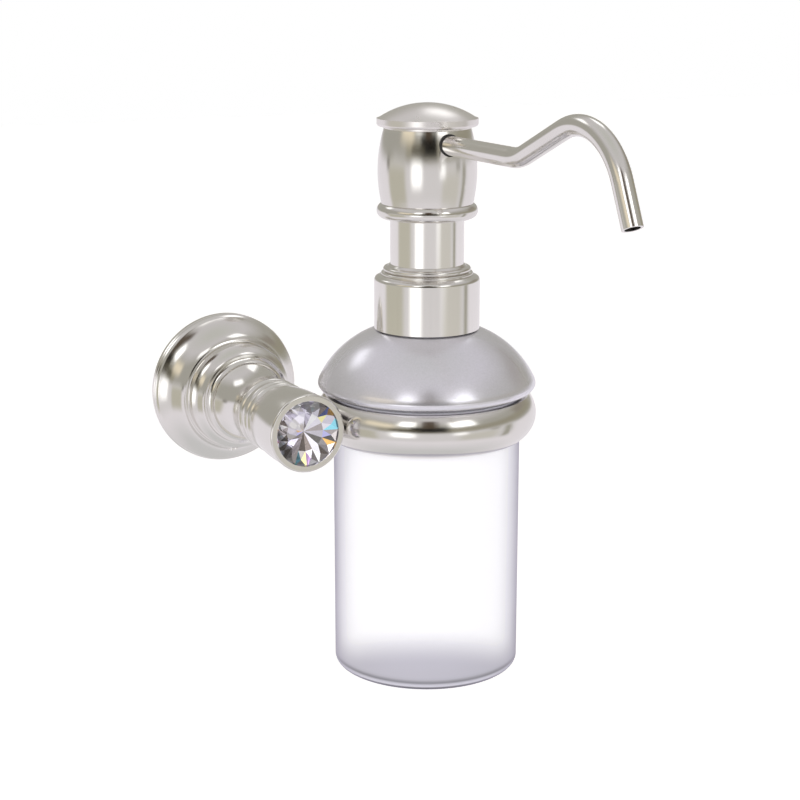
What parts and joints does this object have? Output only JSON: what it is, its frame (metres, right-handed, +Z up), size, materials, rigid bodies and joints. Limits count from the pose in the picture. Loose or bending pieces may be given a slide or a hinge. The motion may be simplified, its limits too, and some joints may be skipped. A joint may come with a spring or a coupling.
{
  "type": "wall mounted soap dispenser",
  "caption": "Wall mounted lotion pump: turned post with a cut crystal end, ring, frosted glass bottle and swan neck pump.",
  "frame": {"origin": "centre of the flange on the wall face", "axes": "+Z up, +Y into the wall, the dispenser stands out towards -Y and the bottle is to +X"},
  "size_m": [0.1132, 0.1887, 0.1967],
  "materials": {
    "polished_nickel": "polished nickel plate",
    "satin_nickel": "satin nickel plate",
    "frosted_glass": "frosted, acid etched",
    "clear_crystal": "cut and polished",
    "mirror_foil": "mirror",
    "zinc_steel": "zinc plated",
    "black_steel": "black oxide",
    "spring_steel": "drawn stainless wire",
    "white_plastic": "moulded",
    "natural_plastic": "milky translucent",
    "white_rubber": "soft",
    "black_rubber": "soft"
  },
  "bodies": {
    "wall_mount": {"mounting_bracket": "zinc_steel", "flange": "polished_nickel", "flange_set_screw": "black_steel", "post_stud": "zinc_steel", "post": "polished_nickel", "bezel": "polished_nickel", "crystal": "clear_crystal", "crystal_foil": "mirror_foil", "support_ring": "polished_nickel", "ring_screw": "zinc_steel"},
    "bottle": {"bottle": "frosted_glass"},
    "pump": {"neck_gasket": "white_rubber", "pump_housing": "natural_plastic", "guide_bush": "white_plastic", "dip_tube": "natural_plastic"},
    "collar": {"closure": "white_plastic", "collar": "polished_nickel", "sleeve": "polished_nickel"},
    "plunger": {"stem": "white_plastic", "piston_seal": "white_rubber", "pump_spring": "spring_steel"},
    "head": {"head_shell": "polished_nickel", "actuator_core": "white_plastic", "cap": "satin_nickel", "spout": "polished_nickel", "spout_grommet": "black_rubber"},
    "inlet_valve": {"inlet_ball": "spring_steel"},
    "outlet_valve": {"outlet_ball": "spring_steel"}
  },
  "joints": [
    {"name": "bottle_lift", "type": "slide", "parent": "wall_mount", "child": "bottle", "axis": [0, 0, 1], "range_m": [0, 0.1]},
    {"name": "pump_lift", "type": "slide", "parent": "bottle", "child": "pump", "axis": [0, 0, 1], "range_m": [0, 0.006]},
    {"name": "collar_turn", "type": "hinge", "parent": "pump", "child": "collar", "pos_m": [0.0492, -0.0645, 0.045], "axis": [0, 0, 1], "range_deg": [0, 541]},
    {"name": "pump_press", "type": "slide", "parent": "pump", "child": "plunger", "axis": [0, 0, -1], "range_m": [0, 0.012], "stiffness_N_per_m": 400, "springref_m": -0.008, "deforming": ["pump_spring"]},
    {"name": "head_swivel", "type": "hinge", "parent": "plunger", "child": "head", "pos_m": [0.0492, -0.0645, 0.09], "axis": [0, 0, 1], "continuous": true},
    {"name": "inlet_valve_lift", "type": "slide", "parent": "pump", "child": "inlet_valve", "axis": [0, 0, 1], "range_m": [0, 0.0015]},
    {"name": "outlet_valve_lift", "type": "slide", "parent": "plunger", "child": "outlet_valve", "axis": [0, 0, 1], "range_m": [0, 0.0015]}
  ],
  "couplings": [
    {"joint": "collar_turn", "follows": "pump_lift", "rad_per_m": 1570.8}
  ]
}
